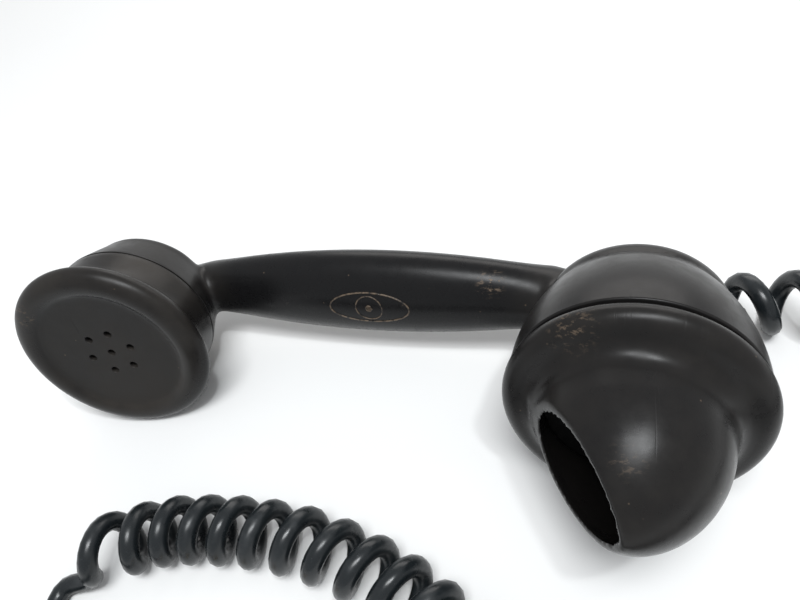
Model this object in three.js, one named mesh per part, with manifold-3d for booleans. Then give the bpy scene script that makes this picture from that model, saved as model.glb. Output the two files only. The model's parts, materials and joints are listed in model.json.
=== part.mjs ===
// Telephone handset of the screw-cap kind, lying on its side, with its curly cord.
// Millimetres, +Z up. +X runs along the handle from the ear end to the mouth end.
import * as THREE from 'three';
import { mergeVertices } from 'three/addons/utils/BufferGeometryUtils.js';
import Module from 'manifold-3d';

const wasm = await Module();
wasm.setup();

// ---------------------------------------------------------------- driving dimensions
const gap = 0.3;                 // clearance between pieces that touch on the real object
const segments = 48;             // facets round a full turn of a large piece
const fine = 20;                 // facets round a full turn of a small piece
const capRadius = 31.6;          // both screw caps at their widest
const capSpacing = 159.5;        // from the ear face to the mouth seam, along the handle
const handleBack = 40.6;         // handle centre line behind the ear face
const earLean = 9;               // degrees that the ear cup leans towards the mouth cup
const mouthLean = 3;             // degrees that the mouth cup leans towards the ear cup

// how the handset settles on a flat surface, on the ear cap's rim and the backs of both cups
const restTilt = 15.5;           // degrees that the faces turn upwards
const restRoll = -0.3;           // degrees that the mouth end rises

const materials = {
  bakelite: { color: 0x0b0b0c, roughness: 0.3, metalness: 0 },
  fibre: { color: 0x5a3a22, roughness: 0.8, metalness: 0 },
  iron: { color: 0x55575a, roughness: 0.5, metalness: 1 },
  brass: { color: 0xb08d4a, roughness: 0.35, metalness: 1 },
  aluminium: { color: 0xb9bbbd, roughness: 0.4, metalness: 1 },
  black_lacquer: { color: 0x121212, roughness: 0.5, metalness: 0.2 },
  magnet: { color: 0x2f3336, roughness: 0.5, metalness: 0.6 },
  copper: { color: 0x8f4a24, roughness: 0.45, metalness: 0.8 },
  carbon: { color: 0x151515, roughness: 0.6, metalness: 0 },
  oiled_silk: { color: 0x9b7f3c, roughness: 0.4, metalness: 0 },
  rubber: { color: 0x101112, roughness: 0.55, metalness: 0 },
  cord_black: { color: 0x0c0e10, roughness: 0.25, metalness: 0 },
  wire_red: { color: 0x8c2b22, roughness: 0.7, metalness: 0 },
  wire_blue: { color: 0x27406b, roughness: 0.7, metalness: 0 },
  wire_white: { color: 0xb8b0a0, roughness: 0.7, metalness: 0 },
};

// ---------------------------------------------------------------- helpers
const radians = THREE.MathUtils.degToRad;

function solid(geometry) {
  const plain = geometry.clone();
  plain.deleteAttribute('normal');
  plain.deleteAttribute('uv');
  const merged = mergeVertices(plain, 1e-4);
  return new wasm.Manifold(new wasm.Mesh({
    numProp: 3,
    vertProperties: new Float32Array(merged.attributes.position.array),
    triVerts: new Uint32Array(merged.index.array),
  }));
}

function geometryOf(manifold) {
  const mesh = manifold.getMesh();
  const geometry = new THREE.BufferGeometry();
  geometry.setAttribute('position', new THREE.BufferAttribute(mesh.vertProperties, 3));
  geometry.setIndex(new THREE.BufferAttribute(mesh.triVerts, 1));
  return geometry;
}

function union(first, ...others) {
  return others.reduce((sum, other) => sum.add(other), first);
}

function cut(first, ...others) {
  return others.reduce((rest, other) => rest.subtract(other), first);
}

// points of an elliptical arc in a lathe profile, angles in degrees from +r towards +z
function arc(r, z, radiusR, radiusZ, from, to, count = 8) {
  return Array.from({ length: count + 1 }, (_, i) => {
    const angle = radians(from + (to - from) * i / count);
    return [r + radiusR * Math.cos(angle), z + radiusZ * Math.sin(angle)];
  });
}

// solid of revolution about Z from [r, z] points, listed from +Z round to -Z
function turned(points, count = segments) {
  const closed = points[0][0] < 1e-6 ? points : [...points, points[0]];
  const profile = closed.map(([r, z]) => new THREE.Vector2(Math.max(r, 0), z)).reverse();
  return new THREE.LatheGeometry(profile, count).rotateX(Math.PI / 2);
}

function disc(radius, bottom, top, count = segments) {
  return turned([[0, top], [radius, top], [radius, bottom], [0, bottom]], count);
}

function ring(outer, inner, bottom, top, count = segments) {
  return turned([[inner, top], [outer, top], [outer, bottom], [inner, bottom]], count);
}

function box(width, depth, height, x = 0, y = 0, z = 0) {
  return new THREE.BoxGeometry(width, depth, height).translate(x, y, z);
}

function tube(points, radius, sides, step) {
  const path = new THREE.CatmullRomCurve3(points.map((p) => new THREE.Vector3(...p)), false, 'centripetal');
  const section = new THREE.Shape(Array.from({ length: sides }, (_, i) => {
    const angle = 2 * Math.PI * i / sides;
    return new THREE.Vector2(radius * Math.cos(angle), radius * Math.sin(angle));
  }));
  const steps = Math.max(2, Math.ceil(path.getLength() / step));
  return new THREE.ExtrudeGeometry(section, { steps, bevelEnabled: false, extrudePath: path });
}

function piece(parent, name, slot, geometry) {
  const look = new THREE.MeshStandardMaterial(materials[slot]);
  look.name = slot;
  const mesh = new THREE.Mesh(geometry, look);
  mesh.name = name;
  parent.add(mesh);
  return mesh;
}

// ---------------------------------------------------------------- frames of the two cups
// each cup's own +Z points out of its cap, and its own +Y is the handset's +Z
function cupFrame(x, lean) {
  const frame = new THREE.Group();
  const out = new THREE.Vector3(Math.sin(radians(lean)), -Math.cos(radians(lean)), 0);
  const up = new THREE.Vector3(0, 0, 1);
  const across = new THREE.Vector3().crossVectors(up, out);
  frame.quaternion.setFromRotationMatrix(new THREE.Matrix4().makeBasis(across, up, out));
  frame.position.set(x, 0, 0);
  frame.updateMatrix();
  return frame;
}

const handset = new THREE.Group();
const ear = cupFrame(0, earLean);
const mouth = cupFrame(capSpacing, -mouthLean);
handset.add(ear, mouth);

function inHandset(geometry, frame) {
  return geometry.clone().applyMatrix4(frame.matrix);
}

// ---------------------------------------------------------------- ear cup sizes, z from the ear face
const earSeam = -20.3;
const earSkirt = 27.3;           // outer radius of cap and cup at the seam
const earBackRadius = 23.6;      // outer radius of the cup where its back starts to round off
const earBack = -37.7;           // plane where the cup's back turns over
const earSpigot = 23.6;          // outer radius of the threaded spigot
const earSpigotTop = -10;
const earBore = 20.6;            // inner radius of the cup
const earFloor = -35.2;
const roundOver = 4;             // radius of the ear cup's back edge

// ---------------------------------------------------------------- mouth cup sizes, z from the mouth seam
const mouthSkirt = 30.8;
const mouthSpigot = 26.2;
const mouthSpigotTop = 3.6;
const mouthBore = 23.4;
const mouthShelf = -15.6;        // the bore narrows here, under the capsule
const mouthLowerBore = 20.6;
const mouthFloor = -32.4;
const mouthEdge = 7;             // radius of the mouth cup's back edge
const mouthEdgeStart = -29;      // where that rounding starts
const mouthBackRadius = 25.6;

// ---------------------------------------------------------------- cord and gland
const cordRadius = 2.8;
const coilRadius = 10;           // outside of the coils
const glandWaist = 4.3;          // sleeve that passes through the cup's back edge
const glandInner = -1;           // all three measured from the middle of that edge's rounding
const glandShoulder = 7.4;
const glandOuter = 17;
const glandDrop = -15;           // degrees round the cup, towards the surface it lies on

const glandOut = new THREE.Vector3(0.55, 0, -0.835).normalize();
const glandFrame = new THREE.Group();
glandFrame.position.set(mouthBackRadius - mouthEdge, 0, mouthEdgeStart);
glandFrame.quaternion.setFromUnitVectors(new THREE.Vector3(0, 0, 1), glandOut);
const glandSide = new THREE.Group();
glandSide.rotation.z = radians(glandDrop);
glandSide.add(glandFrame);
mouth.add(glandSide);
handset.updateMatrixWorld(true);

function fromGland(geometry) {
  return geometry.clone().applyMatrix4(glandFrame.matrixWorld);
}

// ---------------------------------------------------------------- handle moulding
const handleStart = -6;
const handleStop = capSpacing + 6;

// half width (up and down), half depth and centre line of the grip at x
function gripSection(x) {
  const u = (x - 13) / (134 - 13);
  const width = 8.2 * (1 - u) * (1 - 2 * u) + 15.1 * 4 * u * (1 - u) + 10.1 * u * (2 * u - 1);
  const depth = 7 * (1 - u) * (1 - 2 * u) + 10.3 * 4 * u * (1 - u) + 8.5 * u * (2 * u - 1);
  const toEar = Math.max(0, 1 - Math.abs(x - 17) / 16);
  const toMouth = Math.max(0, 1 - Math.abs(x - 138) / 16);
  const flare = 2.4 * (toEar ** 2 + toMouth ** 2);
  return { width, depth: depth + flare };
}

function gripSolid() {
  const rows = 40;
  const sides = 28;
  const positions = [];
  const indices = [];
  for (let i = 0; i <= rows; i += 1) {
    const x = handleStart + (handleStop - handleStart) * i / rows;
    const section = gripSection(THREE.MathUtils.clamp(x, 8, 146));
    const into = Math.max(0, 8 - x, x - 146) / 20;
    const close = Math.sqrt(Math.max(0.05, 1 - into * into));
    for (let k = 0; k < sides; k += 1) {
      const angle = 2 * Math.PI * k / sides;
      positions.push(
        x,
        handleBack - 4 * into * into + section.depth * close * Math.cos(angle),
        section.width * close * Math.sin(angle),
      );
    }
  }
  for (let i = 0; i < rows; i += 1) {
    for (let k = 0; k < sides; k += 1) {
      const a = i * sides + k;
      const b = i * sides + (k + 1) % sides;
      indices.push(a, a + sides, b, b, a + sides, b + sides);
    }
  }
  for (const [row, flip] of [[0, false], [rows, true]]) {
    const base = row * sides;
    for (let k = 1; k < sides - 1; k += 1) {
      indices.push(base, ...(flip ? [base + k + 1, base + k] : [base + k, base + k + 1]));
    }
  }
  const geometry = new THREE.BufferGeometry();
  geometry.setAttribute('position', new THREE.Float32BufferAttribute(positions, 3));
  geometry.setIndex(indices);
  const body = solid(geometry);
  if (body.volume() > 0) return body;
  geometry.setIndex(indices.reverse());
  return solid(geometry);
}

function earCup() {
  return turned([
    [0, earSpigotTop],
    [earSpigot, earSpigotTop],
    [earSpigot, earSeam],
    [earSkirt, earSeam],
    ...arc(earBackRadius - roundOver, earBack + roundOver, roundOver, roundOver, 0, -90, 6),
    [earBackRadius / 2, earBack - 1.2],
    [0, earBack - 1.6],
  ]);
}

function mouthCup() {
  return turned([
    [0, mouthSpigotTop],
    [mouthSpigot, mouthSpigotTop],
    [mouthSpigot, 0],
    [mouthSkirt, 0],
    [mouthSkirt, -6],
    [mouthSkirt - 0.9, -13],
    [mouthSkirt - 2.8, -21],
    ...arc(mouthBackRadius - mouthEdge, mouthEdgeStart, mouthEdge, mouthEdge, 20, -90, 7),
    [mouthBackRadius / 2, mouthEdgeStart - mouthEdge - 1],
    [0, mouthEdgeStart - mouthEdge - 1.5],
  ]);
}

// the wires' way through the handle, from the ear cup's floor to the mouth cup's
const channel = [
  [9, 28, 0], [16, 33, 0], [30, 39.2, 0], [80, 40.6, 0], [128, 39, 0], [142, 32, 0], [149, 27, 0],
];

function handleMoulding() {
  const outside = union(
    gripSolid(),
    solid(inHandset(earCup(), ear)),
    solid(inHandset(mouthCup(), mouth)),
  );
  const earRoom = disc(earBore, earFloor, earSpigotTop + 5);
  const mouthRoom = turned([
    [0, mouthSpigotTop + 5],
    [mouthBore, mouthSpigotTop + 5],
    [mouthBore, mouthShelf],
    [mouthLowerBore, mouthShelf - 1.5],
    [mouthLowerBore, mouthFloor],
    [0, mouthFloor],
  ]);
  const glandHole = disc(glandWaist + gap, glandInner - 2, glandOuter, fine);
  return cut(
    outside,
    solid(inHandset(earRoom, ear)),
    solid(inHandset(mouthRoom, mouth)),
    solid(tube(channel, 3.2, 12, 4)),
    solid(fromGland(glandHole)),
  );
}

const moulding = handleMoulding();
piece(handset, 'handle_moulding', 'bakelite', geometryOf(moulding));

// ---------------------------------------------------------------- ear cap
function earCap() {
  const seat = earSpigotTop + 2.1;
  const body = turned([
    [0, -1.6],
    [12, -1.3],
    ...arc(capRadius - 4.6, -3.4, 5, 4, 130, -80, 14),
    [earSkirt + 0.5, -9.5],
    [earSkirt, earSeam + gap],
    [earSpigot + gap, earSeam + gap],
    [earSpigot + gap, seat],
    [20.4, seat],
    [20.4, -4.8],
    [0, -4.8],
  ]);
  const holes = [[0, 0], ...Array.from({ length: 6 }, (_, i) => {
    const angle = radians(14 + 60 * i);
    return [7.9 * Math.cos(angle), 7.9 * Math.sin(angle)];
  })].map(([x, y]) => solid(disc(1.2, -8, 2, 12).translate(x, y, 0)));
  return geometryOf(cut(solid(body), ...holes));
}

piece(ear, 'ear_cap', 'bakelite', earCap());
piece(ear, 'ear_washer', 'fibre', ring(23.2, 20.8, earSpigotTop + 1, earSpigotTop + 1.8));
piece(ear, 'receiver_diaphragm', 'iron', disc(23.2, earSpigotTop + gap, earSpigotTop + 0.7));

// ---------------------------------------------------------------- receiver inside the ear cup
const caseFloor = earFloor + 0.4;

function closedCup(radius, thickness, bottom, top, count = segments) {
  return turned([
    [0, bottom + thickness],
    [radius - thickness, bottom + thickness],
    [radius - thickness, top],
    [radius, top],
    [radius, bottom],
    [0, bottom],
  ], count);
}

const magnetBottom = caseFloor + 1.2 + gap;
const magnetTop = magnetBottom + 4.2;
const poleOffset = 5.4;
const poleThickness = 3;
const poleWidth = 10;
const poleTop = earSpigotTop - 0.2;

// the case lets the leads in through a hole in its side
piece(ear, 'receiver_case', 'aluminium', geometryOf(cut(
  solid(closedCup(earBore - 0.6, 1.2, caseFloor, earSpigotTop - 2)),
  solid(disc(3.2, 15, 24, 16).rotateY(Math.PI / 2).translate(0, 0, magnetTop + 0.4)),
)));

function horseshoeMagnet() {
  const body = solid(ring(17.5, 10.5, magnetBottom, magnetTop));
  return geometryOf(cut(body, solid(box(12, 20, 20, 0, -16, magnetBottom))));
}

piece(ear, 'receiver_magnet', 'magnet', horseshoeMagnet());

for (const [side, name] of [[-1, 'left'], [1, 'right']]) {
  const foot = solid(box(8, poleWidth, 2.4, side * (poleOffset + 2.6), 0, magnetTop + gap + 1.2));
  const post = solid(box(poleThickness, poleWidth, poleTop - magnetTop - gap,
    side * poleOffset, 0, (poleTop + magnetTop + gap) / 2));
  piece(ear, `pole_piece_${name}`, 'iron', geometryOf(union(foot, post)));

  const spoolBottom = magnetTop + 3;
  const spoolTop = poleTop - 1.2;
  const bore = solid(box(poleThickness + 2 * gap, poleWidth + 2 * gap, 40, 0, 0, spoolBottom));
  const flange = (z) => solid(box(8.2, 16, 0.9, 0, 0, z));
  const core = solid(box(poleThickness + 1.8, poleWidth + 1.8, spoolTop - spoolBottom,
    0, 0, (spoolTop + spoolBottom) / 2));
  const spool = cut(union(flange(spoolBottom + 0.45), flange(spoolTop - 0.45), core), bore);
  piece(ear, `coil_spool_${name}`, 'fibre', geometryOf(spool).translate(side * poleOffset, 0, 0));

  const windingLow = spoolBottom + 0.9 + gap;
  const windingHigh = spoolTop - 0.9 - gap;
  const outer = solid(box(7.6, 15, windingHigh - windingLow, 0, 0, (windingLow + windingHigh) / 2));
  const inner = solid(box(poleThickness + 1.8 + 2 * gap, poleWidth + 1.8 + 2 * gap, 40, 0, 0, windingLow));
  piece(ear, `coil_winding_${name}`, 'copper',
    geometryOf(cut(outer, inner)).translate(side * poleOffset, 0, 0));
}

// terminal strip on the case wall, where the two leads end
const stripHeight = 3;
const stripBottom = magnetTop + gap;
const stripRow = 14.6;

function strip(width, depth, height, screws, screwRadius) {
  const holes = screws.map(([x, y]) => solid(disc(screwRadius, -height, height, 12).translate(x, y, 0)));
  return cut(solid(box(width, depth, height)), ...holes);
}

function screw(headRadius, headHeight, shankRadius, shankLength) {
  const slot = solid(box(headRadius * 3, 0.6, 1.2, 0, 0, headHeight));
  const body = turned([
    [0, headHeight],
    [headRadius * 0.8, headHeight],
    [headRadius, headHeight * 0.5],
    [headRadius, 0],
    [shankRadius, 0],
    [shankRadius, -shankLength],
    [0, -shankLength],
  ], 12);
  return cut(solid(body), slot);
}

function screws(parent, name, places, sizes) {
  places.forEach((place, i) => {
    piece(parent, `${name}_${i + 1}`, 'brass', geometryOf(screw(...sizes).translate(place)));
  });
}

const stripScrews = [[-3.6, 0], [3.6, 0]];
piece(ear, 'receiver_terminal_strip', 'fibre',
  geometryOf(strip(14, 5.6, stripHeight, stripScrews, 1.1))
    .translate(0, stripRow, stripBottom + stripHeight / 2));
screws(ear, 'receiver_screw',
  stripScrews.map(([x]) => [x, stripRow, stripBottom + stripHeight + gap]), [1.9, 1.4, 0.8, 2.6]);

// ---------------------------------------------------------------- mouth cap with its hood
const capSeat = mouthSpigotTop + 2.2;    // inner step that holds the grille down
const hoodRadius = 22;
const hoodBase = 11;
const hoodTop = 41.5;
const hoodWall = 2.6;

// the hood's outline from its tip down to its neck, a little more pointed than an ellipse
function dome(radius, top) {
  return Array.from({ length: 15 }, (_, i) => {
    const rise = Math.cos(Math.PI / 2 * i / 14);
    return [radius * (1 - rise ** 1.7) ** 0.6, hoodBase + (top - hoodBase) * rise];
  });
}

function mouthCap() {
  const shell = turned([
    ...dome(hoodRadius, hoodTop),
    [hoodRadius + 0.6, hoodBase - 1.6],
    [hoodRadius + 2, hoodBase - 2.8],
    ...arc(capRadius - 5.2, 3.6, 5.1, 4, 62, -60, 12),
    [mouthSkirt, gap],
    [mouthSpigot + gap, gap],
    [mouthSpigot + gap, capSeat],
    [hoodRadius - hoodWall, capSeat],
    ...dome(hoodRadius - hoodWall, hoodTop - hoodWall).reverse(),
  ]);
  // the hood is cut off flat from its neck on the ear side to its tip, and the bead below is left whole
  const slope = 53;
  const knife = box(90, 90, 40).translate(0, 0, 20)
    .rotateY(-radians(slope)).translate(-hoodRadius + 1, 0, hoodBase + 2.5);
  const belowHood = box(160, 160, 80).translate(0, 0, hoodBase - 2.8 - 40);
  return geometryOf(cut(solid(shell), cut(solid(knife), solid(belowHood))));
}

piece(mouth, 'mouth_cap', 'bakelite', mouthCap());

function perforated(radius, bottom, top, rows) {
  const holes = rows.flatMap(([count, circle]) => Array.from({ length: count }, (_, i) => {
    const angle = 2 * Math.PI * i / count;
    return solid(disc(1.3, bottom - 1, top + 1, 10)
      .translate(circle * Math.cos(angle), circle * Math.sin(angle), 0));
  }));
  return geometryOf(cut(solid(disc(radius, bottom, top)), ...holes));
}

piece(mouth, 'mouth_grille', 'black_lacquer', perforated(
  mouthSpigot - 0.4, mouthSpigotTop + gap, mouthSpigotTop + 1.3, [[1, 0], [6, 6], [12, 12]],
));

// ---------------------------------------------------------------- carbon capsule, z from the spigot's top
const capsule = new THREE.Group();
capsule.position.z = mouthSpigotTop;
mouth.add(capsule);
const capsuleRadius = mouthBore - 0.5;
const capsuleRimTop = -2.9;
const capsuleDepth = 13.6;
const capsuleFloor = capsuleRimTop - capsuleDepth;
const capsuleWall = 0.9;
const coneRadius = 18;           // the diaphragm's cone, flat beyond this radius
const coneTip = 6;
const coneDepth = 4.2;
const foil = 0.4;                // thickness of the diaphragm and the membrane
const electrodeRadius = 6;

piece(capsule, 'moisture_membrane', 'oiled_silk', disc(mouthBore - 0.4, -0.5 - foil, -0.5));
piece(capsule, 'capsule_ring', 'brass', ring(capsuleRadius, coneRadius + 0.5, capsuleRimTop + gap, -1.2));
piece(capsule, 'capsule_case', 'brass',
  closedCup(capsuleRadius, capsuleWall, capsuleFloor, capsuleRimTop));

const diaphragmTop = capsuleRimTop - 0.7;
piece(capsule, 'capsule_diaphragm', 'aluminium', turned([
  [capsuleRadius - capsuleWall - foil, diaphragmTop],
  [capsuleRadius - capsuleWall - foil, diaphragmTop - foil],
  [coneRadius, diaphragmTop - foil],
  [coneTip, diaphragmTop - coneDepth - foil],
  [0, diaphragmTop - coneDepth - foil],
  [0, diaphragmTop - coneDepth],
  [coneTip, diaphragmTop - coneDepth],
  [coneRadius, diaphragmTop],
]));
const electrodeTop = diaphragmTop - coneDepth - foil - gap;
const electrodeHeight = 1.6;
const granulesTop = electrodeTop - electrodeHeight - gap;
const chamberFloor = capsuleFloor + capsuleWall + gap;
piece(capsule, 'front_electrode', 'carbon', disc(electrodeRadius, electrodeTop - electrodeHeight, electrodeTop, 24));
piece(capsule, 'carbon_chamber', 'brass',
  closedCup(electrodeRadius + 2, 1, chamberFloor, granulesTop + 1.2, 32));
piece(capsule, 'carbon_granules', 'carbon',
  disc(electrodeRadius + 0.6, chamberFloor + 1 + gap, granulesTop, 24));
const studLength = 1.9;
piece(capsule, 'capsule_stud', 'brass',
  disc(3, capsuleFloor - gap - studLength, capsuleFloor - gap, fine));

// ---------------------------------------------------------------- contacts on the mouth cup's floor
const baseHeight = 4;
const baseTop = mouthFloor + gap + baseHeight;
const baseScrews = [[-9, 0], [9, 0], [0, 9]];

const notchPlace = [20 * Math.cos(radians(glandDrop)), 20 * Math.sin(radians(glandDrop)), 0];

piece(mouth, 'contact_base', 'fibre', geometryOf(cut(
  solid(disc(13.8, mouthFloor + gap, baseTop, 32)),
  ...baseScrews.map(([x, y]) => solid(disc(1.5, mouthFloor - 1, baseTop + 1, 12).translate(x, y, 0))),
  solid(disc(7, mouthFloor - 1, baseTop + 1, fine).translate(...notchPlace)),
)));

// a leaf foot on the base, a rise, and a finger that reaches the capsule
function contactSpring(reach, height, width) {
  const profile = new THREE.Shape();
  const t = 0.5;
  profile.moveTo(-3, 0);
  profile.lineTo(3, 0);
  profile.lineTo(5, height - t);
  profile.lineTo(reach, height - t);
  profile.lineTo(reach, height);
  profile.lineTo(5 - t, height);
  profile.lineTo(3 - t, t);
  profile.lineTo(-3, t);
  profile.closePath();
  return new THREE.ExtrudeGeometry(profile, { depth: width, bevelEnabled: false })
    .translate(0, 0, -width / 2).rotateX(Math.PI / 2);
}

const springLow = baseTop + gap;
const capsuleUnderside = mouthSpigotTop + capsuleFloor - gap;
function springWithHole(reach, height) {
  return cut(solid(contactSpring(reach, height, 5)), solid(disc(1.5, -2, 2, 12)));
}

piece(mouth, 'contact_spring_centre', 'brass',
  geometryOf(springWithHole(10.5, capsuleUnderside - studLength - gap - springLow).translate([-9, 0, springLow])));
piece(mouth, 'contact_spring_side', 'brass',
  geometryOf(springWithHole(9.5, capsuleUnderside - springLow).translate([9, 0, springLow])));
screws(mouth, 'contact_screw',
  baseScrews.map(([x, y]) => [x, y, y > 0 ? springLow : springLow + 0.8]), [2.4, 1.7, 1.1, 3.6]);

// ---------------------------------------------------------------- gland, cord end and leads
piece(glandFrame, 'cord_gland', 'rubber', turned([
  [cordRadius + gap, glandOuter],
  [4.4, glandOuter],
  [4.7, glandOuter - 1],
  [5.6, glandShoulder + 2.2],
  [6.4, glandShoulder + 1.6],
  [6.4, glandShoulder],
  [glandWaist, glandShoulder],
  [glandWaist, glandInner],
  [cordRadius + gap, glandInner],
], fine));
piece(glandFrame, 'cord_inner_end', 'cord_black', disc(cordRadius, glandInner - 3.6, glandOuter, fine));
piece(glandFrame, 'cord_ferrule', 'brass', ring(4, cordRadius + gap, glandInner - 3, glandInner - gap, fine));

// a thin insulated wire through points in the handset's frame
const wireRadius = 0.7;
function wire(name, slot, points, step = 3) {
  piece(handset, name, slot, tube(points.map((p) => p.toArray()), wireRadius, 6, step));
}

const inMouth = (x, y, z) => new THREE.Vector3(x, y, z).applyMatrix4(mouth.matrix);
const inEar = (x, y, z) => new THREE.Vector3(x, y, z).applyMatrix4(ear.matrix);
const inGland = (x, y) => new THREE.Vector3(x, y, glandInner - 4.4).applyMatrix4(glandFrame.matrixWorld);
const headHeight = springLow + 1.6;

wire('cord_lead_red', 'wire_red', [
  inGland(-1.2, -0.9), inMouth(8, -7, headHeight + 1), inMouth(-5, -7, headHeight), inMouth(-9, -3.5, headHeight),
]);
wire('cord_lead_blue', 'wire_blue', [
  inGland(1.2, -0.9), inMouth(12, -5.4, headHeight + 0.6), inMouth(9, -3.5, headHeight),
]);
wire('cord_lead_white', 'wire_white', [
  inGland(0, 1.3), inMouth(15.4, 3.4, headHeight + 1.4), inMouth(9, 8.8, headHeight), inMouth(3.5, 9, headHeight - 0.7),
]);

const along = [[30, 39.2], [80, 40.6], [128, 39], [142, 32]];
function handleWay(z) {
  return along.map(([x, y]) => new THREE.Vector3(x, y, z)).reverse();
}
const stripTop = stripBottom + stripHeight;
wire('receiver_lead_red', 'wire_red', [
  inMouth(-12.5, 0, headHeight), inMouth(-15.5, -1, headHeight - 1), ...handleWay(-1.1),
  inEar(21.5, -1.1, -30.2), inEar(18.6, -1.1, -28.3), inEar(15, 2, -27.4), inEar(11.8, 8.4, -26.6),
  inEar(5, 11, stripTop + 1.2), inEar(-3.6, stripRow - 3.1, stripTop + 1.1),
], 5);
wire('receiver_lead_white', 'wire_white', [
  inMouth(-3.5, 9, headHeight - 0.7), inMouth(-10, 6, headHeight), inMouth(-15.5, 1.6, headHeight - 1),
  ...handleWay(1.1),
  inEar(21.5, 1.1, -30.2), inEar(18.6, 1.5, -28.3), inEar(16, 6, -27), inEar(11.6, 12.6, -26),
  inEar(6.5, stripRow, stripTop + 1.1),
], 5);

// ---------------------------------------------------------------- assembly on the surface
const rotation = new THREE.Group();
rotation.rotation.set(radians(-restTilt), radians(restRoll), 0, 'YXZ');
rotation.add(handset);
const part = new THREE.Group();
part.add(rotation);
part.updateMatrixWorld(true);
const bounds = new THREE.Box3().setFromObject(part, true);
rotation.position.set(
  -(bounds.min.x + bounds.max.x) / 2,
  -(bounds.min.y + bounds.max.y) / 2,
  -bounds.min.z,
);
part.updateMatrixWorld(true);

// ---------------------------------------------------------------- the cord on the surface
// centre line of the coils, from behind the mouth cup round to their far end
const coilRoute = [
  [115, 43], [126, 44.8], [142, 44.8], [162, 40], [182, 26], [191, 3], [188, -24], [173, -52], [148, -75],
  [116, -86], [82, -82], [53, -69], [28.5, -54.8], [3, -47.2], [-17.5, -45.8], [-38, -47.6], [-50, -50.6],
  [-61, -55.4], [-70, -59.2],
].map(([x, y]) => [x, y, coilRadius]);
piece(part, 'curly_cord', 'cord_black', tube(coilRoute, coilRadius, 12, 12));

const leave = new THREE.Vector3(0, 0, glandOuter + gap).applyMatrix4(glandFrame.matrixWorld);
const ahead = new THREE.Vector3(0, 0, glandOuter + 4).applyMatrix4(glandFrame.matrixWorld);
piece(part, 'cord_start', 'cord_black', tube([
  leave.toArray(), ahead.toArray(), [112.9, 39.3, 12.2],
], cordRadius, 10, 4));

// ---------------------------------------------------------------- the cord's far end
piece(part, 'cord_end', 'cord_black', tube([
  [-70 - 3 * gap, -59.6, cordRadius + 0.1], [-76, -62.6, cordRadius + 0.1], [-78.5, -69, cordRadius + 0.1],
  [-78.2, -78, cordRadius + 0.1], [-75.6, -85, 3.1], [-70.5, -88.2, 3.7], [-65, -88.5, 4.2],
], cordRadius, 10, 4));

// the far boot and its leads point along +Z of a frame laid on the surface
const farEnd = new THREE.Group();
const farWay = new THREE.Vector3(1, 0, 0);
farEnd.position.set(-65, -88.5, 4.2).addScaledVector(farWay, 3 * gap);
farEnd.quaternion.setFromRotationMatrix(new THREE.Matrix4().makeBasis(
  new THREE.Vector3().crossVectors(new THREE.Vector3(0, 0, 1), farWay), new THREE.Vector3(0, 0, 1), farWay,
));
part.add(farEnd);
const bootLength = 14;
piece(farEnd, 'cord_end_boot', 'rubber', turned([
  [0, bootLength], [4.1, bootLength], [4.1, bootLength - 6], [3.3, 0], [0, 0],
], fine));

const terminalThickness = 0.8;
function spade() {
  const outline = new THREE.Shape();
  outline.moveTo(-1.6, 0);
  outline.lineTo(1.6, 0);
  outline.lineTo(1.6, 4);
  outline.lineTo(3.4, 6);
  outline.lineTo(3.4, 12);
  outline.lineTo(1.7, 12);
  outline.lineTo(1.7, 8.4);
  outline.absarc(0, 8.4, 1.7, 0, Math.PI, true);
  outline.lineTo(-1.7, 12);
  outline.lineTo(-3.4, 12);
  outline.lineTo(-3.4, 6);
  outline.lineTo(-1.6, 4);
  outline.closePath();
  return new THREE.ExtrudeGeometry(outline, { depth: terminalThickness, bevelEnabled: false, curveSegments: 8 })
    .rotateX(Math.PI / 2);
}

[['red', -1], ['blue', 0], ['white', 1]].forEach(([colour, side]) => {
  const reach = bootLength + 22;
  const low = wireRadius + 0.2 - 4.2;
  const endX = side * 11;
  piece(farEnd, `far_lead_${colour}`, `wire_${colour}`, tube([
    [side * 2, 0, bootLength + gap], [side * 4, -0.8, bootLength + 5],
    [side * 8.5, low, bootLength + 14], [endX, low, reach],
  ], wireRadius, 6, 3));
  piece(farEnd, `spade_terminal_${colour}`, 'brass', spade()
    .translate(endX, low + terminalThickness / 2, reach + gap));
});

export default part;
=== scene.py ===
"""Looks of a telephone handset with a curly cord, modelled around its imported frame.

Everything is in metres in the frame's own axes: +X runs along the handle from the ear cap to the mouth
cap, +Z is up and the caps face -Y. Profiles of turned pieces are listed in millimetres.
"""
import json
import math

import bpy
from mathutils import Matrix, Vector
from mathutils.bvhtree import BVHTree


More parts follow.
